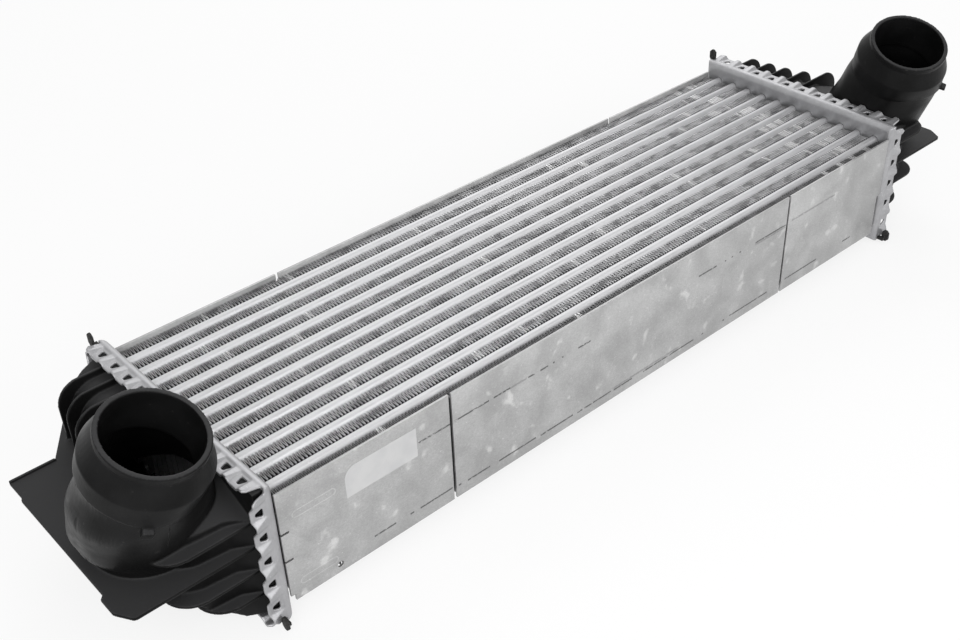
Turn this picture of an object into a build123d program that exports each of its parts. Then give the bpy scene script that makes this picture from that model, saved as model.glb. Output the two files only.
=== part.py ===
from build123d import *
import math
import os

# A charge-air intercooler. A brazed aluminium core of flat tubes and folded fins stands between
# two crimped headers. Each header holds a moulded plastic tank with a hose spigot, a wide guide
# flange and stiffening ribs. The right end is built in full and the left end is its mirror image.
# X runs along the core, Y across the stack of tubes and Z along the path of the outside air.

# Tubes of the core and the folded sheet inside each one
core_length = 539.6
tube_count = 11
tube_thickness = 7.3
tube_depth = 75.0
tube_wall = 0.6
tube_end_stand = 4.0
tube_nose_flat = 0.45
turbulator_fold_count = 2
turbulator_sheet = 0.3
turbulator_clearance = 0.05

# Folded fins between the tubes
fin_height = 7.3
fin_depth = 72.0
fin_sheet = 0.3
fin_fold_count = 6
fin_end_gap = 2.4

# Side plates, each sawn into three lengths after brazing
plate_thickness = 1.5
plate_height = 78.4
plate_end_gap = 0.2
saw_cut_offset = 153.0
saw_cut_width = 2.0
plate_slit_length = 5.2
plate_slit_width = 1.6
plate_slit_heights = (10.7, -9.0)
plate_hole_diameter = 4.0
plate_hole_inset = 33.3
plate_hole_edge = 5.7
plate_corner_notch = (2.9, 4.6)
plate_step_depth = 3.4
plate_step_height = -7.0

# Headers: a pressed pan with a rounded rim and a fluted, pierced wall crimped round the tank's foot
header_sheet = 2.0
header_side_step = 1.25
header_top_step = 11.0
rim_length = 5.2
rim_thickness = 2.1
rim_rounding = 4.4
wall_thickness = 1.6
long_wall_reach = (15.3, 15.3)
short_wall_reach = (15.0, 13.8)
flute_rise = 2.4
flute_crest = 2.6
corner_notch = 3.2
wall_end_cut = (2.0, 2.3)
long_windows = 11
short_windows = 5
short_window_pitch = 17.05
window_land = 6.8
window_near = 7.4
window_far = 11.9
window_wide = 5.6
window_narrow = 2.2
tube_slot_clearance = 0.05

# Gasket under the tank's foot, with a tail at two opposite corners
gasket_thickness = 3.0
gasket_play = 0.3
tail_thickness = 4.0
tail_arm_height = 2.2
tail_arm_thickness = 3.0
tail_arm_stand = 2.4
tail_gap = 0.3
tail_corner_cut = 1.8
top_tail_height = 8.9
top_tail_width = 5.6
top_tail_reach = 0.9
top_tail_rise = 1.8
bottom_tail_height = 8.8
bottom_tail_width = 5.6
bottom_tail_reach = 4.4
bottom_tail_rise = 0.1

# Moulded tank
foot_end = 11.0
foot_opening_side = 6.0
foot_opening_top = 7.1
foot_opening_depth = 3.0
tank_wall = 2.8
shoulder_length = 13.0
tank_depth_front = 58.0
tank_depth_back = 35.4
tank_corner_radius = 16.0
under_chamfer_low = 22.0
under_chamfer_level = -5.0
front_end_step = 7.0
front_end_run = 12.0
front_end_slope = 4.0
front_end_radius = 18.0
back_end_slope = 11.0
back_end_radius = 10.0
shoulder_drop = 15.0
shoulder_run = 34.0
rib_thickness = 2.0
rib_stand = 7.0
upright_rib_count = 5
rib_corner_radius = 15.0
rib_flare_start = 35.0
rib_flare = 0.0145
low_rib_trim = 21.0

# Guide flange on the second level of ribs
flange_thickness = 2.2
flange_reach = 86.3
flange_back = 54.6
flange_lip_height = 1.4
flange_lip_start = 57.7
flange_step = 2.3
flange_corner_cut = (4.0, 10.6)
flange_step_places = (23.0, 25.5)
flange_heel = 36.4
flange_heel_step = (1.2, 2.1)
flange_root = 40.0

# Hose spigot, leaning over the core and towards the front
mouth_out = 44.0
mouth_across = -63.6
mouth_up = 94.6
lean_inward = 0.195
lean_forward = 0.335
throat_radius = 25.2
lip_radius = 28.2
lip_height = 3.5
neck_radius = 27.4
collar_radius = 33.3
collar_start = 16.5
collar_end = 28.5
boss_radius = 30.5
lug_angle = 293.0
lug_width = 6.5
lug_height = 3.0
lug_stand = 2.6
horn_overrun = 12.0
bulge_out = 44.5
bulge_across = -28.0
bulge_flat_out = 8.0
bulge_flat_across = 9.8
crimp_clearance = 0.4

half_core = core_length / 2
tube_pitch = tube_thickness + fin_height
stack_half = (tube_count * tube_thickness + (tube_count + 1) * fin_height) / 2
plate_outer = stack_half + plate_thickness
header_half_width = plate_outer + header_side_step
header_half_height = tube_depth / 2 + header_top_step
pan_half_width = header_half_width - rim_thickness
pan_half_height = header_half_height - rim_thickness
foot_start = header_sheet + gasket_thickness
foot_half_width = pan_half_width - gasket_play
foot_half_height = pan_half_height - gasket_play
opening_half_width = foot_half_width - foot_opening_side
opening_half_height = foot_half_height - foot_opening_top
flange_level = short_window_pitch / 2


def rounded_outline(corners):
    """A closed flat face through corners (x, y, radius), each rounded by its own radius."""
    rounded = []
    for i, (x, y, radius) in enumerate(corners):
        here = Vector(x, y)
        back = (Vector(*corners[i - 1][:2]) - here).normalized()
        ahead = (Vector(*corners[(i + 1) % len(corners)][:2]) - here).normalized()
        if radius > 0:
            half = math.radians(back.get_angle(ahead)) / 2
            reach = radius / math.tan(half)
            middle = here + (back + ahead).normalized() * (radius / math.sin(half) - radius)
            rounded.append((here + back * reach, middle, here + ahead * reach))
        else:
            rounded.append((here, None, here))
    edges = []
    for i, (enter, middle, leave) in enumerate(rounded):
        if middle is not None:
            edges.append(ThreePointArc(enter, middle, leave))
        edges.append(Line(leave, rounded[(i + 1) % len(rounded)][0]))
    return make_face(edges)


def upright_plane(across):
    """A plane square to Y, with its own x along X and its own y along Z."""
    return Plane(origin=(0, across, 0), x_dir=(1, 0, 0), z_dir=(0, -1, 0))


def cross_plane(along):
    """A plane square to X, with its own x along Y and its own y along Z."""
    return Plane(origin=(along, 0, 0), x_dir=(0, 1, 0), z_dir=(1, 0, 0))


def folded_strip(length, height, sheet, folds):
    """A sheet folded to and fro between two faces, seen edge on: x along, y across the folds."""
    step = length / folds
    thick = sheet * math.hypot(step, height) / step
    reach = (height - thick) / 2
    line = [(-length / 2 + i * step, reach if i % 2 else -reach) for i in range(folds + 1)]
    upper = [(x, y + thick / 2) for x, y in line]
    lower = [(x, y - thick / 2) for x, y in reversed(line)]
    return make_face(Polyline(*upper, *lower, close=True))


def tube_outline(clearance=0.0):
    """The flat tube's outline, square to the core, with a blunt nose at each end of its depth."""
    half_thick = tube_thickness / 2 + clearance
    blunt = tube_nose_flat * half_thick
    straight = (tube_depth - tube_thickness) / 2
    tip = straight + half_thick
    nose = [(half_thick, straight), (blunt, tip), (-blunt, tip), (-half_thick, straight)]
    corners = [*nose, *((-y, -z) for y, z in nose)]
    return cross_plane(0) * make_face(Polyline(*corners, close=True))


def tube_place(k):
    return Pos(0, (k - (tube_count - 1) / 2) * tube_pitch, 0)


def tube():
    length = core_length + 2 * (header_sheet + tube_end_stand)
    outer = extrude(tube_outline(), length / 2, both=True)
    channel = Box(length, tube_thickness - 2 * tube_wall, tube_depth - tube_thickness + 2 * turbulator_clearance)
    return outer - channel


def turbulator():
    width = tube_depth - tube_thickness
    height = tube_thickness - 2 * (tube_wall + turbulator_clearance)
    edge = folded_strip(width, height, turbulator_sheet, turbulator_fold_count)
    length = core_length + 2 * header_sheet
    return extrude(cross_plane(0) * (Rot(0, 0, 90) * edge), length / 2, both=True)


def fin():
    edge = folded_strip(core_length - 2 * fin_end_gap, fin_height, fin_sheet, fin_fold_count)
    return extrude(edge, fin_depth / 2, both=True)


def side_plate(start, end, side, near_left_header=False, near_right_header=False):
    """One length of side plate from x = start to x = end, on side -1 (front) or +1 (rear)."""
    half = plate_height / 2
    middle = (start + end) / 2
    face = Pos(middle, 0) * Rectangle(end - start, plate_height)
    if near_left_header:
        for height in plate_slit_heights:
            face -= Pos(start, height) * Rectangle(2 * plate_slit_length, plate_slit_width)
        notch_x, notch_z = plate_corner_notch
        face -= Pos(start, -half) * Rectangle(2 * notch_x, 2 * notch_z)
        hole_x = -half_core + plate_hole_inset
        face -= Pos(hole_x, -half + plate_hole_edge) * Circle(plate_hole_diameter / 2)
    if near_right_header:
        step_tall = plate_step_height + half
        step_middle = -half + step_tall / 2
        face -= Pos(end, step_middle) * Rectangle(2 * plate_step_depth, step_tall)
    inner_face = stack_half
    place = upright_plane(-inner_face if side < 0 else inner_face + plate_thickness)
    return extrude(place * face, plate_thickness)


def solid_of(faces):
    """A solid from flat faces, each given by its corners."""
    return Solid(Shell([make_face(Polyline(*corners, close=True)) for corners in faces]))


def wall_stations(count, pitch, half_length):
    """Places along a header wall, as (x, rise, end_cut): flat at each window, raised between them."""
    half = count * pitch / 2
    stations = [(-half_length, flute_rise, wall_end_cut[1]), (wall_end_cut[0] - half_length, flute_rise, 0)]
    for k in range(count):
        middle = -half + (k + 0.5) * pitch
        if k > 0:
            stations.append((middle - pitch / 2 - flute_crest / 2, flute_rise, 0))
        stations.append((middle - pitch / 2 + flute_crest / 2, flute_rise, 0))
        stations.append((middle - window_land / 2, 0, 0))
        stations.append((middle + window_land / 2, 0, 0))
    stations.append((half - flute_crest / 2, flute_rise, 0))
    stations.append((half_length - wall_end_cut[0], flute_rise, 0))
    stations.append((half_length, flute_rise, wall_end_cut[1]))
    return stations


def fluted_wall(count, pitch, half_length, reach):
    """A header wall laid flat: x along the wall, y out from the core, z away from the tank's foot.

    It is flat and pierced at the windows. Between them it rises in flutes, which leave room for
    the tank's ribs.
    """
    inner = rim_length - wall_thickness
    columns = []
    for x, rise, end_cut in wall_stations(count, pitch, half_length):
        outer = reach[1] - end_cut if rise > 0 else reach[0]
        columns.append([(x, inner, 0), (x, outer, rise), (x, outer, rise + wall_thickness), (x, inner, wall_thickness)])
    faces = [columns[0], columns[-1]]
    for here, ahead in zip(columns, columns[1:]):
        for k in range(4):
            a, b, c, d = here[k], ahead[k], ahead[k - 1], here[k - 1]
            if here == [(here[0][0], *point[1:]) for point in ahead]:
                faces.append([a, b, c, d])
            else:
                faces += [[a, b, c], [a, c, d]] if k != 1 else [[d, c, b], [d, b, a]]
    wall = solid_of(faces)
    window = make_face(Polyline(
        (-window_wide / 2, window_near), (window_wide / 2, window_near),
        (window_narrow / 2, window_far), (-window_narrow / 2, window_far), close=True))
    for k in range(count):
        middle = (k + 0.5 - count / 2) * pitch
        wall -= Pos(middle, 0, 0) * extrude(window, 3 * wall_thickness, both=True)
    return wall


def header():
    """The right header, with its face towards the core at x = 0 and the tank on +X."""
    width, height = 2 * header_half_width, 2 * header_half_height
    pan = Pos(rim_length / 2, 0, 0) * Box(rim_length, width, height)
    pan = fillet(pan.edges().group_by(Axis.X)[0], rim_rounding)
    hollow = Box(rim_length, 2 * pan_half_width, 2 * pan_half_height)
    pan -= Pos(header_sheet + rim_length / 2, 0, 0) * hollow
    top = fluted_wall(long_windows, tube_pitch, header_half_width - corner_notch, long_wall_reach)
    top = Plane(origin=(0, 0, pan_half_height), x_dir=(0, -1, 0), z_dir=(0, 0, 1)) * top
    side = fluted_wall(short_windows, short_window_pitch, header_half_height - corner_notch, short_wall_reach)
    side = Plane(origin=(0, pan_half_width, 0), x_dir=(0, 0, 1), z_dir=(0, 1, 0)) * side
    for wall in (top, side):
        pan += wall
        pan += Rot(180, 0, 0) * wall
    slot = extrude(tube_outline(tube_slot_clearance), header_sheet + 1, both=True)
    for k in range(tube_count):
        pan -= tube_place(k) * slot
    return pan


def gasket_tail(side, width, height, reach, rise):
    """A flat tail with cut corners and its arm, at the top rear corner (side +1) or the bottom front (-1)."""
    inner_y = header_half_width - corner_notch + tail_gap
    inner_z = header_half_height - corner_notch + tail_gap
    end = header_half_width + reach
    arm_start = rim_length + tail_gap
    arm_end = arm_start + tail_arm_thickness
    root = Pos((foot_start + arm_end) / 2, (inner_y + foot_half_width) / 2, (inner_z + foot_half_height) / 2) * Box(
        arm_end - foot_start, foot_half_width - inner_y, foot_half_height - inner_z)
    arm = Pos((arm_start + arm_end) / 2, (inner_y + end) / 2, inner_z + tail_arm_height / 2) * Box(
        tail_arm_thickness, end - inner_y, tail_arm_height)
    paddle_start = arm_end - tail_arm_thickness + tail_arm_stand
    oval = chamfer(Rectangle(width, height).vertices(), tail_corner_cut)
    paddle = cross_plane(paddle_start) * (Pos(end, header_half_height + rise) * oval)
    tail = root + arm + extrude(paddle, tail_thickness - tail_arm_stand)
    return tail if side > 0 else Rot(180, 0, 0) * tail


def gasket():
    outer = Rectangle(2 * foot_half_width, 2 * foot_half_height)
    ring = outer - Rectangle(2 * opening_half_width, 2 * opening_half_height)
    body = extrude(cross_plane(header_sheet) * ring, gasket_thickness)
    bottom_rise = -bottom_tail_height / 2 - bottom_tail_rise
    return (
        body
        + gasket_tail(1, top_tail_width, top_tail_height, top_tail_reach, top_tail_rise)
        + gasket_tail(-1, bottom_tail_width, bottom_tail_height, bottom_tail_reach, bottom_rise)
    )


def tail_relief():
    """Room in the foot's corner for the root of a gasket tail, at the top rear corner."""
    low_z = header_half_height - corner_notch
    low_y = header_half_width - corner_notch
    deep, wide, tall = foot_end - foot_start + 1, foot_half_width - low_y + 1, foot_half_height - low_z + 1
    return Pos(foot_start + deep / 2, low_y + wide / 2, low_z + tall / 2) * Box(deep, wide, tall)


def depth_at(across, extra=0.0):
    """How far the tank's outer wall stands from the core, which grows towards the front."""
    front, back = -opening_half_width, opening_half_width
    share = (across - front) / (back - front)
    return tank_depth_front + (tank_depth_back - tank_depth_front) * share + extra


def tank_body(inset):
    """The tank's long body, inset all round: a D-shaped section that deepens to the front."""
    half = opening_half_height + tank_wall - inset
    wide = opening_half_width + tank_wall - inset
    lean = math.atan2(tank_depth_front - tank_depth_back, 2 * opening_half_width)
    outward = Vector(math.cos(lean), math.sin(lean), 0)
    section_plane = Plane(
        origin=Vector(depth_at(0), 0, 0), x_dir=outward, z_dir=Vector(math.sin(lean), -math.cos(lean), 0))
    radius = tank_corner_radius - inset
    section = rounded_outline([
        (-2 * tank_depth_front, -half, 0), (-inset, -half, radius), (-inset, half, radius),
        (-2 * tank_depth_front, half, 0)])
    body = extrude(section_plane * section, 2 * foot_half_width, both=True)
    front_deep = depth_at(-wide) - inset
    back_deep = depth_at(wide) - inset
    front_wall = -wide + front_end_step
    plan = rounded_outline([
        (foot_start, -wide, 0), (foot_end, -wide, 0), (foot_end + front_end_run, front_wall, 4),
        (front_deep, front_wall + front_end_slope, front_end_radius - inset),
        (back_deep, wide - back_end_slope, back_end_radius - inset),
        (shoulder_length, wide, 0), (foot_start, wide, 0)])
    body &= extrude(plan, half + 1, both=True)
    end_view = make_face(Polyline(
        (-wide, half - shoulder_drop), (-wide + shoulder_run, half), (wide, half),
        (wide, -half), (-wide, -half), close=True))
    body &= extrude(cross_plane(0) * end_view, flange_reach)
    return split(body, bisect_by=under_chamfer(inset), keep=Keep.BOTTOM)


def under_chamfer(inset):
    """The slanting plane under the body, wide at the front and running out on the rear corner."""
    low = -opening_half_height - tank_wall
    corner_cut = tank_corner_radius * (1 - math.sqrt(0.5))
    front_low = Vector(under_chamfer_low, -foot_half_width, low)
    front_high = Vector(depth_at(-foot_half_width), -foot_half_width, under_chamfer_level)
    rear = Vector(depth_at(foot_half_width) - corner_cut, foot_half_width, low + corner_cut)
    outward = (front_high - front_low).cross(rear - front_low).normalized()
    if outward.Z > 0:
        outward = -outward
    return Plane(origin=front_low - outward * inset, z_dir=outward)


def upright_ribs():
    """D-shaped ribs across the rear half of the tank, in line with the flutes of the header."""
    ribs = []
    for k in range(upright_rib_count):
        across = (k + 0.5) * tube_pitch
        flare = rib_flare * max(0.0, rib_flare_start - across) ** 2
        depth = depth_at(across, rib_stand + flare)
        corners = [
            (foot_start, -foot_half_height, 0), (depth, -foot_half_height, rib_corner_radius),
            (depth, foot_half_height, rib_corner_radius), (foot_start, foot_half_height, 0)]
        ribs.append(extrude(upright_plane(across) * rounded_outline(corners), rib_thickness / 2, both=True))
    return ribs


def level_ribs():
    """Flat ribs round the tank at the header's side flutes, apart from the flange's level."""
    wide = opening_half_width + tank_wall
    ribs = []
    for level, trim in ((1.5, 3.0), (-0.5, 2.0), (-1.5, low_rib_trim)):
        front_deep = depth_at(-wide, rib_stand - trim)
        back_deep = min(front_deep, depth_at(wide, rib_stand - 2.0))
        plan = rounded_outline([
            (foot_start, -wide, 0), (front_deep, -wide, front_end_radius),
            (back_deep, wide - back_end_slope, back_end_radius), (shoulder_length, wide, 0), (foot_start, wide, 0)])
        ribs.append(Pos(0, 0, level * short_window_pitch) * extrude(plan, rib_thickness / 2, both=True))
    return ribs


def guide_flange():
    """The wide flat flange with stepped outer edge, a cut-off front corner and a raised rear lip."""
    wide = opening_half_width + tank_wall
    outer = flange_reach + flange_step
    inner = flange_reach - flange_heel_step[0]
    plan = rounded_outline([
        (foot_start, -wide, 0), (flange_reach - flange_corner_cut[0], -wide, 3.0),
        (outer, -wide + flange_corner_cut[1], 3.0), (outer, -wide + flange_step_places[0], 0),
        (flange_reach, -wide + flange_step_places[1], 0), (flange_reach, flange_heel, 0),
        (inner, flange_heel + flange_heel_step[1], 0), (inner, flange_back, 0),
        (flange_lip_start, flange_back, 0), (flange_root, wide, 0), (foot_start, wide, 0)])
    plate = Pos(0, 0, flange_level) * extrude(plan, flange_thickness / 2, both=True)
    lip_length = inner - flange_lip_start
    lip = Pos(
        flange_lip_start + lip_length / 2, flange_back - rib_thickness / 2,
        flange_level + flange_thickness / 2 + flange_lip_height / 2) * Box(
        lip_length, rib_thickness, flange_lip_height)
    return plate + lip


def spigot_plane(down):
    """A plane square to the spigot's axis, this far below its mouth, with x towards +X."""
    up = math.sqrt(1 - lean_inward ** 2 - lean_forward ** 2)
    axis = Vector(-lean_inward, -lean_forward, up)
    mouth = Vector(mouth_out, mouth_across, mouth_up)
    across = (Vector(1, 0, 0) - axis * axis.X).normalized()
    return Plane(origin=mouth - axis * down, x_dir=across, z_dir=axis)


def spigot():
    """The spigot's outside: lip, neck, cone and collar, turned about its axis, with its lug."""
    profile = make_face(Polyline(
        (0, 0), (lip_radius, 0), (lip_radius, -lip_height), (neck_radius, -lip_height),
        (collar_radius, -collar_start), (collar_radius, -collar_end), (0, -collar_end), close=True))
    turned = revolve(Plane.XZ * profile, Axis.Z)
    lug = Rot(0, 0, lug_angle) * Pos(
        boss_radius + (collar_radius + lug_stand - boss_radius) / 2, 0, -collar_end - lug_height / 2) * Box(
        collar_radius + lug_stand - boss_radius + 1, lug_width, lug_height)
    return spigot_plane(0).location * (turned + lug)


def pyramid(base_corners, apex):
    """A solid pyramid on four corners."""
    sides = [(a, b, apex) for a, b in zip(base_corners, [*base_corners[1:], base_corners[0]])]
    return solid_of([base_corners, *sides])


def spigot_horn(inset):
    """From the spigot's base down to the bulge over the flange, inset all round for the air passage.

    A slim pyramid is grown all round, which leaves a round top under the collar and flat sides
    with round corners at the flange.
    """
    radius = boss_radius - inset
    collar_plane = spigot_plane(collar_end if inset == 0 else collar_end - 1)
    top = spigot_plane(collar_end).origin
    foot = Vector(bulge_out, bulge_across, flange_level)
    apex = top + (top - foot).normalized() * horn_overrun
    base_corners = []
    for along, across in ((-1, -1), (1, -1), (1, 1), (-1, 1)):
        corner = foot + Vector(along * bulge_flat_out / 2, across * bulge_flat_across / 2, 0)
        base_corners.append(corner + (corner - apex) * 0.5)
    horn = offset(pyramid(base_corners, apex), amount=radius, kind=Kind.ARC)
    level = flange_level - flange_thickness / 2 + (0.0 if inset == 0 else tank_wall)
    horn = split(horn, bisect_by=collar_plane, keep=Keep.BOTTOM)
    horn = split(horn, bisect_by=Plane(origin=(0, 0, level)), keep=Keep.TOP)
    horn = split(horn, bisect_by=cross_plane(foot_start + tank_wall + inset), keep=Keep.TOP)
    crimp_room = long_wall_reach[0] + crimp_clearance + inset
    crimp_low = foot_half_height - inset
    return horn - Pos(crimp_room / 2, 0, crimp_low + mouth_up / 2) * Box(crimp_room, 4 * mouth_up, mouth_up)


def tank():
    """The right tank, in the header's own frame."""
    foot_middle = (foot_start + foot_end) / 2
    outer = Pos(foot_middle, 0, 0) * Box(foot_end - foot_start, 2 * foot_half_width, 2 * foot_half_height)
    outer += tank_body(0)
    for piece in (*upright_ribs(), *level_ribs(), guide_flange(), spigot_horn(0), spigot()):
        outer += piece
    opening_middle = foot_start + foot_opening_depth / 2
    inner = Pos(opening_middle, 0, 0) * Box(foot_opening_depth, 2 * opening_half_width, 2 * opening_half_height)
    inner += tank_body(tank_wall)
    inner += spigot_horn(tank_wall)
    throat_length = collar_end + 2.0
    inner += spigot_plane(throat_length / 2 - 1.0).location * Cylinder(throat_radius, throat_length)
    outer -= inner
    outer -= tail_relief()
    outer -= Rot(180, 0, 0) * tail_relief()
    return outer


def nodes():
    """Every piece by name, about the middle of the core."""
    pieces = {}
    for k in range(tube_count):
        pieces[f"tube_{k + 1:02d}"] = tube_place(k) * tube()
        pieces[f"turbulator_{k + 1:02d}"] = tube_place(k) * turbulator()
    for k in range(tube_count + 1):
        pieces[f"fin_{k + 1:02d}"] = tube_place(k - 0.5) * fin()
    ends = half_core - plate_end_gap
    cut, half_cut = saw_cut_offset, saw_cut_width / 2
    for name, side in (("front", -1), ("rear", 1)):
        pieces[f"{name}_side_plate_left"] = side_plate(-ends, -cut - half_cut, side, near_left_header=True)
        pieces[f"{name}_side_plate_middle"] = side_plate(-cut + half_cut, cut - half_cut, side)
        pieces[f"{name}_side_plate_right"] = side_plate(cut + half_cut, ends, side, near_right_header=True)
    for name, shape in (("header", header()), ("gasket", gasket()), ("tank", tank())):
        right = Pos(half_core, 0, 0) * shape
        pieces[f"right_{name}"] = right
        pieces[f"left_{name}"] = mirror(right, about=Plane.YZ)
    return pieces


def main():
    pieces = nodes()
    box = Compound(list(pieces.values())).bounding_box()
    base = Pos(-box.center().X, -box.center().Y, -box.min.Z)
    os.makedirs("parts", exist_ok=True)
    for name, shape in pieces.items():
        export_step(base * shape, f"parts/{name}.step")
    print("origin", box.center(), "lowest", box.min, "highest", box.max)


main()
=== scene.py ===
import math
import random

import bpy
from mathutils import Matrix, Vector


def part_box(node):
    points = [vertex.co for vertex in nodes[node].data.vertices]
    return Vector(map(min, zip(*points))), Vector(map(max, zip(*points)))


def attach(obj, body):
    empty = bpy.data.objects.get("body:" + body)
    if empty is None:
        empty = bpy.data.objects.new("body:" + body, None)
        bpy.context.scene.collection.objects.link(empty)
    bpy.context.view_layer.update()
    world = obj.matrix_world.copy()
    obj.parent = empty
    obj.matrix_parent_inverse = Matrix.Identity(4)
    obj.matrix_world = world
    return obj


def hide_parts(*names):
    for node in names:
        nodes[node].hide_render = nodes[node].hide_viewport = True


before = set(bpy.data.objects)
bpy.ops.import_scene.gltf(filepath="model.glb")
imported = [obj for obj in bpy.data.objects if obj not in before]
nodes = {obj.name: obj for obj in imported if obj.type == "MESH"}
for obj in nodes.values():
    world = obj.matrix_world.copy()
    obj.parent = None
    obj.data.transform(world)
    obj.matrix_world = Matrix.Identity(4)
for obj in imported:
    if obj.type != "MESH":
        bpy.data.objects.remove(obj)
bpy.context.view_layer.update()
MM = 0.001

# Places taken from the CAD parts
header_low, header_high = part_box("right_header")
core_middle_y = (header_low.y + header_high.y) / 2
core_middle_z = (header_low.z + header_high.z) / 2
header_face = header_low.x
plate_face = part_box("front_side_plate_left")[0].y
core_half_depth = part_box("fin_01")[1].z - core_middle_z

# Pieces that repeat
tube_count = 11
foil_count = 12

# Camera of the photograph: place in metres, turn in degrees, lens and sensor in millimetres
camera_place = (-0.48528, -0.50466, 0.52284)
camera_turn = (54.388, 2.002, -41.691)
camera_lens = 46.746
camera_sensor = 36
camera_nearest = 10 * MM

# Studio: each lamp's name, place, size in metres and power in watts, then the floor and the backdrop
lamps = (
    ("left_softbox", (-1.1, -0.9, 0.9), 1.0, 15),
    ("rear_softbox", (1.1, 1.2, 1.3), 1.4, 14),
    ("front_softbox", (0.4, -1.6, 0.7), 1.2, 13))
lamp_target = (0, 0, 0.05)
light_all_round = 0.55
backdrop_grey = 0.8
floor_size = 8
floor_level = -0.3 * MM
floor_whiteness = 0.8

# Folded foil between the tubes: each fold has a crest of two short slopes, and its edges can bend
wave_length = 2.27 * MM
foil_thickness = 0.2 * MM
crest_half = 0.22 * MM
crest_height = 0.14 * MM
bent_zone = 2.0 * MM
foil_seed = 12

# Slow lean of the folds: limits for the size, length in millimetres and start of each swing
swing_count = 3
swing_sizes = (0.15, 0.34)
swing_lengths = (14, 40)
swing_starts = (0, 6.3)
lean_shift = 0.5 * MM
lean_fade = 4 * MM

# Short patches with the top edge bent over. Those near the right header lie this far from it, and the
# loose ones anywhere in this share of the foil's length. Places and half widths are limits in millimetres
header_patch_counts = (3, 4, 5, 6)
header_patch_places = (15, 52)
header_patch_widths = (0.4, 3)
loose_patch_counts = (1, 2, 3)
loose_patch_reach = 0.9
loose_patch_widths = (0.4, 2)
patch_shift = 1.3 * MM
patch_fade = 1.0 * MM

# How quickly painted shade darkens the foil inwards from its edge, and where the front plate's painted
# shadow over it ends
fold_shade_depth = (0.1 * MM, 1.3 * MM)
plate_shade = (8 * MM, 10 * MM)
# Where the painted shade on the tubes starts, as x
tube_shade_start = 20 * MM
# How metallic the bare aluminium is
bare_metal = 0.82

# Points of a CAD mesh this close are merged, and faces that are flat within this angle are joined
merge_distance = 0.001 * MM
flat_angle = 0.5

# Softening of the tanks and headers: grid, rounds of smoothing and triangles kept
tank_softening = (0.6 * MM, 3, 150000)
header_softening = (0.4 * MM, 12, 80000)

# Rounding of edges
gasket_rounding = 0.5 * MM
plate_edge_wear = 0.25 * MM
tube_nose_rounding = 1.2 * MM
# A point lies on a tube's outside beyond these shares of its half thickness and half depth
tube_outside = (0.95, 0.96)

# How far the tank's horn is let out, and where that grows and fades, outwards, upwards and across
horn_swell = 6.5 * MM
horn_grows_out = (18 * MM, 34 * MM)
horn_grows_up = (12 * MM, 26 * MM)
horn_fades_up = (48 * MM, 70 * MM)
horn_fades_across = (-8 * MM, 10 * MM)

# Blank film on the front plate, as x and height above the core's middle
film_start, film_end = -227.2 * MM, -178.2 * MM
film_low, film_high = 9.8 * MM, 30.0 * MM
film_thickness = 0.12 * MM
film_corner = 7.5 * MM

# Dark dashes on the front plates: start, end and height above the core's middle, in millimetres
upper_dashes = (
    (-177, -153, 18.5), (-150.8, -124.6, 18.7), (-121, -108, 18.7), (-93.7, -88.3, 18.5),
    (-83.8, -77.3, 18.3), (-73.4, -72.0, 18.4), (-65.9, -64.6, 18.4), (-52, -41.4, 18.2),
    (59.4, 77.4, 17.9), (85.9, 87.4, 17.8), (92.8, 94.4, 17.8), (101, 102.6, 17.8),
    (118, 151, 17.8))
lower_dashes = (
    (-212.6, -197.2, -29.0), (-186.8, -184.1, -29.2), (-179.4, -155, -29.4), (-150.5, -148.5, -30.5),
    (-143.4, -125.8, -31.0), (-118.5, -88.0, -31.4), (-84, -56, -32.0), (-52, -21.7, -32.4),
    (-19, -1.8, -32.8), (8.9, 58.9, -33.0), (67.2, 69, -32.8), (89.4, 91.2, -32.5),
    (96.4, 138.1, -32.0), (157.7, 195.4, -30.5), (227.2, 236.9, -29.3))
faint_dashes = ((157.7, 208, 18.5), (-108, -95, 18.6), (118, 151, 16.2), (-20, 45, -31.2))
# Pale pressed ovals on the left front plate: start, end and height above the core's middle
pressed_ovals = ((-259, -236, 20), (-260, -240, -28))


class Value:
    """A shader socket that is used like a number, and adds its Math nodes as it goes."""

    def __init__(self, finish, socket):
        self.finish = finish
        self.socket = socket

    def combine(self, operation, other, swapped=False):
        """A Math node on this value and another, in this order or swapped."""
        first, second = (other, self) if swapped else (self, other)
        return self.finish.node("ShaderNodeMath", {"operation": operation}, {0: first, 1: second})

    def __add__(self, other):
        return self.combine("ADD", other)

    def __radd__(self, other):
        return self.combine("ADD", other)

    def __sub__(self, other):
        return self.combine("SUBTRACT", other)

    def __rsub__(self, other):
        return self.combine("SUBTRACT", other, swapped=True)

    def __mul__(self, other):
        return self.combine("MULTIPLY", other)

    def __rmul__(self, other):
        return self.combine("MULTIPLY", other)

    def __lt__(self, other):
        return self.combine("LESS_THAN", other)

    def higher(self, other):
        return self.combine("MAXIMUM", other)

    def absolute(self):
        return self.combine("ABSOLUTE", 0.0)

    def between(self, low, high):
        """0 below low and 1 above high, with a smooth rise between them."""
        inputs = {"Value": self, "From Min": low, "From Max": high}
        return self.finish.node("ShaderNodeMapRange", {"interpolation_type": "SMOOTHSTEP"}, inputs)


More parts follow.
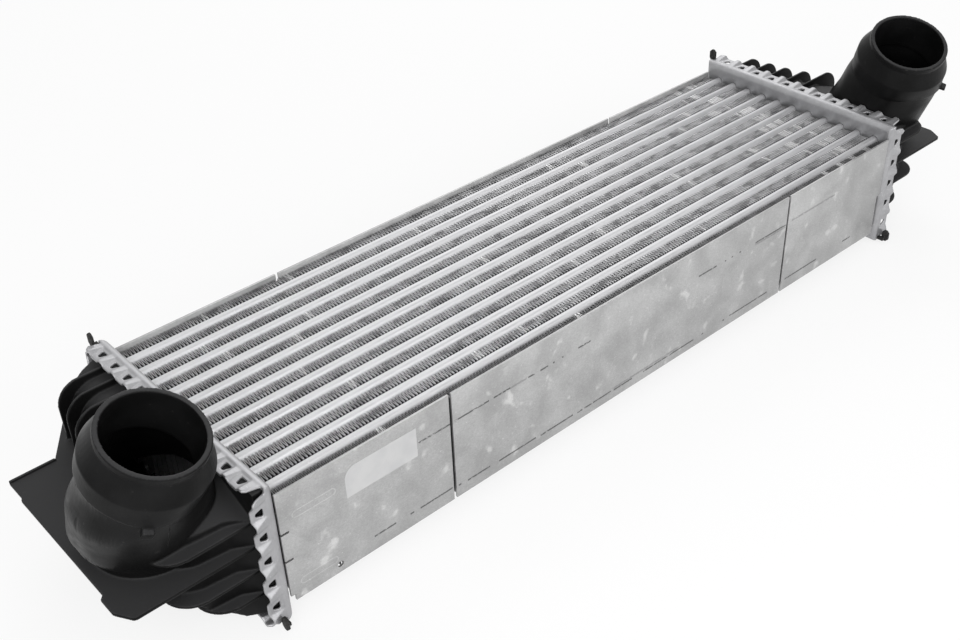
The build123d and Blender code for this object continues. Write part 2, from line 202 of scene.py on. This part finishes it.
class Finish:
    """One material with a Principled shader, built up from nodes on Object coordinates."""

    def __init__(self, name, color, roughness, metallic=0.0):
        self.material = bpy.data.materials.new(name)
        self.material.use_nodes = True
        self.tree = self.material.node_tree
        self.shader = self.tree.nodes["Principled BSDF"]
        self.place = self.node("ShaderNodeTexCoord", output="Object")
        self.x, self.y, self.z = (
            self.node("ShaderNodeSeparateXYZ", inputs={0: self.place}, output=axis) for axis in "XYZ")
        self.set("Base Color", (*color, 1))
        self.set("Roughness", roughness)
        self.set("Metallic", metallic)

    def put(self, socket, value):
        """Links a value to a socket, or sets a plain number or colour on it."""
        if isinstance(value, Value):
            self.tree.links.new(value.socket, socket)
        else:
            socket.default_value = value

    def node(self, kind, settings=None, inputs=None, output=0):
        """Adds a node with its settings and inputs, and gives one of its outputs."""
        made = self.tree.nodes.new(kind)
        for name, value in (settings or {}).items():
            setattr(made, name, value)
        for name, value in (inputs or {}).items():
            self.put(made.inputs[name], value)
        return Value(self, made.outputs[output])

    def set(self, name, value):
        self.put(self.shader.inputs[name], value)

    def stretched(self, x, y, z):
        """Object coordinates drawn out: a factor below 1 lengthens the pattern along that axis."""
        return self.node("ShaderNodeMapping", inputs={"Vector": self.place, "Scale": (x, y, z)})

    def noise(self, size, detail=3.0, where=None, distortion=0.0):
        """Cloudy noise from 0 to 1 with features of about this size."""
        inputs = {"Vector": where or self.place, "Scale": 1 / size}
        inputs.update({"Detail": detail, "Distortion": distortion})
        return self.node("ShaderNodeTexNoise", inputs=inputs)

    def mix(self, factor, first, second):
        """Two colours mixed. The Mix node's sockets 6 and 7 take them, and its output 2 gives the result."""
        first, second = (c if isinstance(c, Value) else (*c, 1) for c in (first, second))
        inputs = {"Factor": factor, 6: first, 7: second}
        return self.node("ShaderNodeMix", {"data_type": "RGBA"}, inputs, output=2)

    def relief(self, height, depth):
        """Bump from a height of 0 to 1 that stands for this depth."""
        inputs = {"Height": height, "Strength": 1.0, "Distance": depth}
        self.set("Normal", self.node("ShaderNodeBump", inputs=inputs))

    def scuff(self, start, end, height, half_height=0.6):
        """1 on a short level line, given in millimetres along x and above the core's middle."""
        along = (self.x - (start + end) / 2 * MM).absolute() < (end - start) / 2 * MM
        level = (self.z - (core_middle_z + height * MM)).absolute() < half_height * MM
        return along * level

    def oval(self, start, end, height, radius=2.3, line=0.3):
        """1 on the outline of a long oval, given in millimetres as a dash is."""
        beyond = ((self.x - (start + end) / 2 * MM).absolute() - (end - start) / 2 * MM).higher(0.0)
        level = self.z - (core_middle_z + height * MM)
        squared = beyond * beyond + level * level
        return (squared - (radius * MM) ** 2).absolute() < 2 * radius * line * MM * MM


def grey(level, blue=None):
    """A grey colour, with its blue given apart where the piece looks slightly cool."""
    return level, level, level if blue is None else blue


def black_moulding():
    """Glass-filled black plastic: satin, with a faint grain, specks of dust and painted light that makes
    upward faces paler.
    """
    finish = Finish("black_moulding", grey(0.008), 0.42)
    cloud = finish.noise(30 * MM, detail=4.0)
    grain = finish.noise(0.6 * MM, detail=2.0)
    flow = finish.noise(20 * MM, detail=5.0, where=finish.stretched(0.5, 1.0, 2.0), distortion=1.5)
    tone = finish.mix(cloud.between(0.3, 0.75), grey(0.004), grey(0.009, 0.0092))
    dust = finish.noise(3.5 * MM, detail=6.0).between(0.66, 0.74) * cloud.between(0.45, 0.6) * 0.25
    normal = finish.node("ShaderNodeNewGeometry", output="Normal")
    # Painted light: faces turned upwards are made paler, as lamps from above would light them.
    painted_top_light = finish.node("ShaderNodeSeparateXYZ", inputs={0: normal}, output="Z").between(0.55, 0.97)
    tone = finish.mix(painted_top_light * 0.8, tone, grey(0.042, 0.043))
    finish.set("Base Color", finish.mix(dust, tone, (0.07, 0.068, 0.065)))
    finish.set("Roughness", flow.between(0.2, 0.8) * 0.14 + 0.32)
    finish.set("Specular IOR Level", 0.08)
    finish.relief(grain * 0.7 + flow * 0.3, 0.06 * MM)
    return finish.material


def rubber():
    """The gaskets' dull black rubber, finely mottled."""
    finish = Finish("gasket_rubber", grey(0.015), 0.7)
    mottle = finish.noise(1.2 * MM, detail=4.0)
    tone = finish.mix(mottle.between(0.35, 0.7), grey(0.010), (0.035, 0.034, 0.033))
    finish.set("Base Color", tone)
    finish.set("Specular IOR Level", 0.25)
    finish.relief(mottle, 0.12 * MM)
    return finish.material


def aluminium(name, dark, light, roughness, cloud_size, streaks, marks=None):
    """Bare brazed aluminium: cloudy tone, fine rolling lines and flux specks."""
    finish = Finish(name, light, roughness, metallic=bare_metal)
    cloud = finish.noise(cloud_size, detail=5.0, distortion=0.4)
    fine = finish.noise(0.9 * MM, detail=3.0, where=finish.stretched(*streaks))
    specks = finish.noise(1.6 * MM, detail=2.0).between(0.68, 0.76)
    tone = finish.mix((cloud * 0.7 + fine * 0.3).between(0.3, 0.7), dark, light)
    tone = finish.mix(specks * 0.3, tone, grey(0.75))
    metal = bare_metal - specks * 0.4
    if marks:
        tone, metal = marks(finish, tone, metal)
    finish.set("Base Color", tone)
    finish.set("Metallic", metal)
    finish.set("Roughness", cloud.between(0.25, 0.75) * 0.16 + roughness)
    finish.relief(fine * 0.6 + cloud * 0.4, 0.05 * MM)
    return finish.material


def shade_foil(finish, tone, metal):
    """Painted light on the foil: its folds darken quickly inwards with painted shade, the row beside the
    front plate takes the plate's painted shadow, and bent top edges carry a painted glint.
    """
    depth = core_half_depth - (finish.z - core_middle_z).absolute()
    bent = finish.node("ShaderNodeAttribute", {"attribute_name": "bent"}, output="Fac")
    # Painted shade: the foil darkens deep in its folds, away from its edges, but not where it is bent.
    inside = depth.between(*fold_shade_depth) * (1 - bent)
    # Painted shadow of the front plate over the row of foil beside it.
    painted_plate_shadow = 1 - finish.y.between(plate_face + plate_shade[0], plate_face + plate_shade[1])
    patches = finish.noise(11 * MM, detail=3.0, where=finish.stretched(1.0, 2.5, 0.1)).between(0.52, 0.62)
    tone = finish.mix(patches * 0.5, tone, grey(0.16, 0.165))
    tone = finish.mix(painted_plate_shadow * 0.7, tone, grey(0.12))
    # Painted glint: the bent-over top edges are made nearly white.
    tone = finish.mix(bent, tone, grey(0.95))
    return finish.mix(inside, tone, grey(0.05, 0.052)), metal


def shade_tubes(finish, tone, metal):
    """Painted shade: the tubes darken in blotches towards the right header."""
    blotches = finish.noise(14 * MM, detail=4.0, where=finish.stretched(0.3, 1.0, 1.0))
    # Painted shade: the dull share darkens the tubes in blotches towards the right header.
    dull = finish.x.between(tube_shade_start, header_face) * (blotches * 0.9 + 0.35)
    return finish.mix(dull.between(0.0, 1.0) * 0.65, tone, grey(0.36, 0.37)), metal


def mark_front(finish, tone, metal):
    """The front plates' dark dashes, pale pressed ovals and whitish flux."""
    ragged = finish.noise(1.2 * MM, detail=4.0, where=finish.stretched(0.45, 1.0, 1.0)).between(0.33, 0.46)
    dark = sum((finish.scuff(*line) for line in (*upper_dashes, *lower_dashes)), start=0.0)
    faint = sum((finish.scuff(*line, half_height=0.8) for line in faint_dashes), start=0.0)
    pale = sum((finish.oval(*oval) for oval in pressed_ovals), start=0.0)
    blobs = finish.noise(11 * MM, detail=3.0, distortion=0.2).between(0.60, 0.74)
    grain = finish.noise(0.7 * MM, detail=2.0).between(0.35, 0.65)
    tone = finish.mix(grain * 0.22, tone, grey(0.25))
    tone = finish.mix(blobs * 0.3, tone, grey(0.72, 0.71))
    tone = finish.mix(dark * ragged * 0.8 + faint * ragged * 0.3, tone, grey(0.03))
    tone = finish.mix(pale * ragged * 0.3, tone, grey(0.75))
    return tone, metal - blobs * 0.35 - dark * 0.3


def paper_film():
    """The plain film stuck on the front plate, slightly paler than the metal."""
    finish = Finish("blank_film", grey(0.62), 0.55)
    cloud = finish.noise(10 * MM, detail=4.0)
    finish.set("Base Color", finish.mix(cloud.between(0.3, 0.7), grey(0.40, 0.405), grey(0.44)))
    finish.set("Roughness", cloud * 0.2 + 0.42)
    return finish.material


def soft_rise(value, low, high):
    """0 below low and 1 above high, with a smooth rise between them."""
    share = min(max((value - low) / (high - low), 0.0), 1.0)
    return share * share * (3 - 2 * share)


def pick(piece):
    """Makes this object the only selected one, and the active one."""
    if bpy.context.mode != "OBJECT":
        leave_edit()
    bpy.ops.object.select_all(action="DESELECT")
    piece.select_set(True)
    bpy.context.view_layer.objects.active = piece


def edit(piece):
    """Opens a piece for shaping by its points."""
    pick(piece)
    bpy.ops.object.mode_set(mode="EDIT")
    bpy.ops.mesh.select_mode(type="VERT")


def leave_edit():
    bpy.ops.object.mode_set(mode="OBJECT")


def choose_all(piece):
    """Opens a piece for shaping with all of it selected."""
    edit(piece)
    bpy.ops.mesh.select_all(action="SELECT")


def choose_points(piece, wanted):
    """Selects the mesh points whose place passes the test, and nothing else."""
    edit(piece)
    bpy.ops.mesh.select_all(action="DESELECT")
    leave_edit()
    for point in piece.data.vertices:
        point.select = wanted(point.co)
    bpy.ops.object.mode_set(mode="EDIT")


def apply(piece, name, kind, **settings):
    """Adds a modifier with these settings and applies it."""
    pick(piece)
    modifier = piece.modifiers.new(name, kind)
    for setting, value in settings.items():
        setattr(modifier, setting, value)
    bpy.ops.object.modifier_apply(modifier=name)


def shade(piece, degrees):
    """Smooth shading, apart from edges that are sharper than this."""
    pick(piece)
    bpy.ops.object.shade_smooth_by_angle(angle=math.radians(degrees))


def round_edges(piece, width, segments, degrees):
    """Rounds every edge that is sharper than this angle."""
    apply(
        piece, "rounded_edges", "BEVEL", width=width, segments=segments, limit_method="ANGLE",
        angle_limit=math.radians(degrees))


def dress(piece, material, slot, *replaced):
    """Gives a piece its material, hangs it under the root body and hides the CAD parts it replaces; the slot
    is not used.
    """
    piece.data.materials.clear()
    piece.data.materials.append(material)
    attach(piece, "root")
    if replaced:
        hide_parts(*replaced)


def put_in_scene(name, data):
    """A new object that holds this mesh, lamp or camera."""
    holder = bpy.data.objects.new(name, data)
    bpy.context.scene.collection.objects.link(holder)
    return holder


def merged_copy(node, name):
    """A copy of a CAD node's mesh with its doubles merged and its flat faces whole."""
    piece = put_in_scene(name, nodes[node].data.copy())
    choose_all(piece)
    bpy.ops.mesh.remove_doubles(threshold=merge_distance)
    bpy.ops.mesh.dissolve_limited(angle_limit=math.radians(flat_angle))
    leave_edit()
    return piece


def mirrored(piece, name):
    """The same piece for the other end of the core, with its faces turned outwards again."""
    mesh = piece.data.copy()
    mesh.transform(Matrix.Scale(-1, 4, (1, 0, 0)))
    twin = put_in_scene(name, mesh)
    choose_all(twin)
    bpy.ops.mesh.remove_doubles(threshold=merge_distance)
    bpy.ops.mesh.normals_make_consistent(inside=False)
    leave_edit()
    return twin


def softened(node, name, grid, rounds, triangles):
    """A copy of a node with every edge slightly rounded, as moulding and pressing leave it."""
    piece = merged_copy(node, name)
    apply(piece, "even_grid", "REMESH", mode="VOXEL", voxel_size=grid, use_smooth_shade=True)
    apply(piece, "soft_edges", "SMOOTH", factor=0.5, iterations=rounds)
    apply(piece, "fewer_faces", "DECIMATE", ratio=triangles / (2 * len(piece.data.polygons)))
    shade(piece, 50)
    return piece


def swell_horn(tank):
    """Lets the horn under the spigot's collar stand further out from the core."""
    for point in tank.data.vertices:
        out, across, up = point.co - Vector((header_face, core_middle_y, core_middle_z))
        share = soft_rise(out, *horn_grows_out) * soft_rise(up, *horn_grows_up)
        share *= 1 - soft_rise(up, *horn_fades_up)
        share *= 1 - soft_rise(across, *horn_fades_across)
        point.co.x += horn_swell * share


def dress_both_ends(right_piece, left_name, node, material, slot):
    """Mirrors the right end's piece for the left end, and dresses both."""
    left_piece = mirrored(right_piece, left_name)
    dress(right_piece, material, slot, f"right_{node}")
    dress(left_piece, material, slot, f"left_{node}")


def tank_pair(material):
    """The two moulded tanks with their ribs, flanges and hose spigots."""
    tank = softened("right_tank", "right_moulded_tank", *tank_softening)
    swell_horn(tank)
    dress_both_ends(tank, "left_moulded_tank", "tank", material, "tank_plastic")


def header_pair(material):
    """The two pressed headers, fluted and pierced all round."""
    header = softened("right_header", "right_pressed_header", *header_softening)
    dress_both_ends(header, "left_pressed_header", "header", material, "header_aluminium")


def gasket_pair(material):
    """The two gaskets, of which only the tails show."""
    for side in ("right", "left"):
        piece = merged_copy(f"{side}_gasket", f"{side}_rubber_gasket")
        round_edges(piece, gasket_rounding, 3, 30)
        shade(piece, 40)
        dress(piece, material, "gasket_rubber", f"{side}_gasket")


def rounded_tubes(material):
    """The flat tubes, with their blunt noses rounded as the rolled tube's are."""
    for k in range(tube_count):
        node = f"tube_{k + 1:02d}"
        piece = merged_copy(node, f"rolled_{node}")
        low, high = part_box(node)
        middle = (low + high) / 2
        half = (high - low) / 2

        def on_outside(place):
            away_y = abs(place.y - middle.y)
            away_z = abs(place.z - middle.z)
            return away_y > tube_outside[0] * half.y or away_z > tube_outside[1] * half.z

        choose_points(piece, on_outside)
        leave_edit()
        for edge in piece.data.edges:
            ends = [piece.data.vertices[i] for i in edge.vertices]
            lengthwise = abs(ends[0].co.x - ends[1].co.x) > half.x
            edge.select = lengthwise and all(end.select for end in ends)
        for polygon in piece.data.polygons:
            polygon.select = False
        bpy.context.tool_settings.mesh_select_mode = (False, True, False)
        bpy.ops.object.mode_set(mode="EDIT")
        bpy.ops.mesh.bevel(offset=tube_nose_rounding, segments=3, affect="EDGES", clamp_overlap=False)
        leave_edit()
        shade(piece, 30)
        dress(piece, material, "tube_aluminium", node)


def side_plates(front, rear):
    """The front and rear side plates, each sawn into three lengths."""
    for end in ("left", "middle", "right"):
        for side, material in (("front", front), ("rear", rear)):
            node = f"{side}_side_plate_{end}"
            piece = merged_copy(node, f"{side}_sheet_{end}")
            round_edges(piece, plate_edge_wear, 2, 40)
            shade(piece, 40)
            dress(piece, material, "plate_aluminium", node)


def folded_wave(low, high, length):
    """One wave of foil, from the middle of one trough to the next."""
    depth = high.z - low.z
    middle = (0, 0, (low.z + high.z) / 2)
    reach = (high.y - low.y - foil_thickness) / 2
    inner_row = depth / 6
    bpy.ops.object.select_all(action="DESELECT")
    bpy.ops.mesh.primitive_grid_add(
        x_subdivisions=1, y_subdivisions=3, size=depth, location=middle, rotation=(math.pi / 2, 0, 0))
    piece = bpy.context.object
    bpy.ops.object.transform_apply(location=True, rotation=True, scale=True)
    choose_all(piece)
    bpy.ops.transform.resize(value=(crest_half / depth, 1, 1), center_override=middle)
    bpy.ops.transform.translate(value=(low.x + crest_half / 2, -reach, 0))
    choose_points(piece, lambda place: abs(place.z - middle[2]) < 2 * inner_row)
    stretch = (depth / 2 - bent_zone) / inner_row
    bpy.ops.transform.resize(value=(1, 1, stretch), center_override=middle)
    choose_points(piece, lambda place: place.x > low.x + crest_half / 2)
    bpy.ops.transform.translate(value=(0, crest_height, 0))
    rise = 2 * (reach - crest_height)
    run = length / 2 - 2 * crest_half
    for step in ((run, rise), (crest_half, crest_height), (crest_half, -crest_height), (run, -rise),
                 (crest_half, -crest_height)):
        bpy.ops.mesh.extrude_region_move(TRANSFORM_OT_translate={"value": (*step, 0)})
    leave_edit()
    return piece


def draw_patches(low, high, draw):
    """Draws where a foil's top edge is bent: the place, half width and way of each patch."""
    patches = []
    for _ in range(draw.choice(header_patch_counts)):
        place = header_face - draw.uniform(*header_patch_places) * MM
        patches.append((place, draw.uniform(*header_patch_widths) * MM, draw.choice((-1, 1))))
    for _ in range(draw.choice(loose_patch_counts)):
        place = draw.uniform(loose_patch_reach * low.x, loose_patch_reach * high.x)
        patches.append((place, draw.uniform(*loose_patch_widths) * MM, draw.choice((-1, 1))))
    return patches


def bend_foil(mesh, low, high, draw):
    """Lets the folds lean a little to and fro, and bends the top edges in a few short patches."""
    middle_y = (low.y + high.y) / 2
    swings = [
        (draw.uniform(*swing_sizes), draw.uniform(*swing_lengths) * MM, draw.uniform(*swing_starts))
        for _ in range(swing_count)]
    patches = draw_patches(low, high, draw)
    bent = mesh.attributes.new("bent", "FLOAT", "POINT")
    for point in mesh.vertices:
        place = point.co
        turn = 2 * math.pi * place.x
        lean = sum(size * math.sin(turn / length + start) for size, length, start in swings)
        from_ends = soft_rise(min(place.x - low.x, high.x - place.x), 0.0, lean_fade)
        share = (place.y - middle_y) / (high.y - middle_y)
        shift = lean * lean_shift * share * from_ends
        if place.z > high.z - 0.5 * bent_zone:
            for where, width, way in patches:
                near = 1 - soft_rise(abs(place.x - where), width, width + patch_fade)
                shift += near * way * patch_shift * (1 - share * share)
                bent.data[point.index].value = max(bent.data[point.index].value, near)
        point.co.x += shift


def foil_strips(material):
    """The twelve folded foils, each with its own slight bends."""
    low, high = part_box("fin_01")
    waves = round((high.x - low.x) / wave_length)
    length = (high.x - low.x) / waves
    wave = folded_wave(low, high, length)
    apply(
        wave, "waves", "ARRAY", count=waves, use_relative_offset=False, use_constant_offset=True,
        constant_offset_displace=(length, 0, 0), use_merge_vertices=True, merge_threshold=0.01 * MM)
    apply(wave, "sheet", "SOLIDIFY", thickness=foil_thickness, offset=0)
    draw = random.Random(foil_seed)
    for k in range(foil_count):
        node = f"fin_{k + 1:02d}"
        row_low, row_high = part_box(node)
        mesh = wave.data.copy()
        mesh.transform(Matrix.Translation((0, (row_low.y + row_high.y) / 2, 0)))
        bend_foil(mesh, row_low, row_high, draw)
        piece = put_in_scene(f"foil_{k + 1:02d}", mesh)
        shade(piece, 60)
        dress(piece, material, "fin_aluminium", node)
    bpy.data.objects.remove(wave)


def dress_turbulators(material):
    """The turbulators inside the tubes keep their solids, and are of the foil's metal."""
    for k in range(tube_count):
        turbulator = nodes[f"turbulator_{k + 1:02d}"]
        turbulator.data.materials.clear()
        turbulator.data.materials.append(material)


def blank_film(material):
    """A plain film on the left front plate, with one corner cut round."""
    middle = ((film_start + film_end) / 2, plate_face, core_middle_z + (film_low + film_high) / 2)
    bpy.ops.object.select_all(action="DESELECT")
    bpy.ops.mesh.primitive_plane_add(size=1, location=middle, rotation=(math.pi / 2, 0, 0))
    piece = bpy.context.object
    piece.name = "blank_film"
    bpy.ops.object.transform_apply(location=True, rotation=True, scale=True)
    choose_all(piece)
    bpy.ops.transform.resize(value=(film_end - film_start, 1, film_high - film_low), center_override=middle)
    choose_points(piece, lambda place: place.x < middle[0] and place.z > middle[2])
    bpy.ops.mesh.bevel(offset=film_corner, segments=8, affect="VERTICES", clamp_overlap=False)
    choose_all(piece)
    bpy.ops.mesh.extrude_region_move(TRANSFORM_OT_translate={"value": (0, -film_thickness, 0)})
    bpy.ops.mesh.select_all(action="SELECT")
    bpy.ops.mesh.normals_make_consistent(inside=False)
    leave_edit()
    dress(piece, material, "plate_aluminium")


def seen_directly(tree):
    """1 for rays from the camera, and for mirrored and transmitted ones."""
    path = tree.nodes.new("ShaderNodeLightPath")
    seen = path.outputs["Is Camera Ray"]
    for ray in ("Is Glossy Ray", "Is Transmission Ray"):
        either = tree.nodes.new("ShaderNodeMath")
        either.operation = "MAXIMUM"
        tree.links.new(seen, either.inputs[0])
        tree.links.new(path.outputs[ray], either.inputs[1])
        seen = either.outputs[0]
    return seen


def white_paper():
    """The floor: white paper that still takes a soft shadow."""
    paper = Finish("white_floor", grey(0.85), 0.9)
    glow = paper.node("ShaderNodeEmission", inputs={"Color": (1, 1, 1, 1), "Strength": 1.0})
    share = Value(paper, seen_directly(paper.tree)) * floor_whiteness
    lit = Value(paper, paper.shader.outputs[0])
    surface = paper.node("ShaderNodeMixShader", inputs={0: share, 1: lit, 2: glow})
    paper.put(paper.tree.nodes["Material Output"].inputs["Surface"], surface)
    return paper.material


def backdrop():
    """Even light from all round, and a pale backdrop for the camera and for reflections."""
    world = bpy.data.worlds.new("studio")
    bpy.context.scene.world = world
    world.use_nodes = True
    tree = world.node_tree
    light = tree.nodes["Background"]
    light.inputs["Color"].default_value = (1, 1, 1, 1)
    light.inputs["Strength"].default_value = light_all_round
    pale = tree.nodes.new("ShaderNodeBackground")
    pale.inputs["Color"].default_value = (*grey(backdrop_grey), 1)
    pale.inputs["Strength"].default_value = 1.0
    choose = tree.nodes.new("ShaderNodeMixShader")
    tree.links.new(seen_directly(tree), choose.inputs[0])
    tree.links.new(light.outputs[0], choose.inputs[1])
    tree.links.new(pale.outputs[0], choose.inputs[2])
    tree.links.new(choose.outputs[0], tree.nodes["World Output"].inputs["Surface"])


def studio():
    """A white floor and pale backdrop, and soft lamps at the left, behind and in front."""
    bpy.ops.mesh.primitive_plane_add(size=floor_size, location=(0, 0, floor_level))
    floor = bpy.context.object
    floor.name = "floor"
    floor.data.materials.append(white_paper())
    backdrop()
    for name, place, size, power in lamps:
        lamp = bpy.data.lights.new(name, "AREA")
        lamp.energy = power
        lamp.size = size
        holder = put_in_scene(name, lamp)
        holder.location = place
        holder.rotation_euler = (Vector(lamp_target) - Vector(place)).to_track_quat("-Z", "Y").to_euler()


def photograph_camera():
    """The camera at the photograph's viewing angle."""
    lens = bpy.data.cameras.new("camera")
    lens.lens = camera_lens
    lens.sensor_width = camera_sensor
    lens.clip_start = camera_nearest
    holder = put_in_scene("camera", lens)
    holder.location = camera_place
    holder.rotation_euler = [math.radians(angle) for angle in camera_turn]
    bpy.context.scene.camera = holder


photograph_camera()
studio()
tube_metal = aluminium(
    "tube_sheet", dark=grey(0.52, 0.53), light=grey(0.61, 0.62), roughness=0.50,
    cloud_size=20 * MM, streaks=(0.05, 1.0, 1.0), marks=shade_tubes)
foil_metal = aluminium(
    "fin_foil", dark=grey(0.50, 0.51), light=grey(0.85, 0.86), roughness=0.34,
    cloud_size=12 * MM, streaks=(1.0, 1.0, 0.2), marks=shade_foil)
plate_sheet = {
    "dark": grey(0.36), "light": grey(0.50), "roughness": 0.45,
    "cloud_size": 22 * MM, "streaks": (0.4, 1.0, 1.0)}
rear_metal = aluminium("rear_plate_sheet", **plate_sheet)
front_metal = aluminium("front_plate_sheet", **plate_sheet, marks=mark_front)
header_metal = aluminium(
    "header_sheet", dark=grey(0.33, 0.34), light=grey(0.41, 0.42), roughness=0.42,
    cloud_size=12 * MM, streaks=(1.0, 0.3, 0.3))
foil_strips(foil_metal)
rounded_tubes(tube_metal)
side_plates(front_metal, rear_metal)
blank_film(paper_film())
header_pair(header_metal)
gasket_pair(rubber())
tank_pair(black_moulding())
dress_turbulators(foil_metal)

bpy.context.scene.view_settings.view_transform = "Standard"
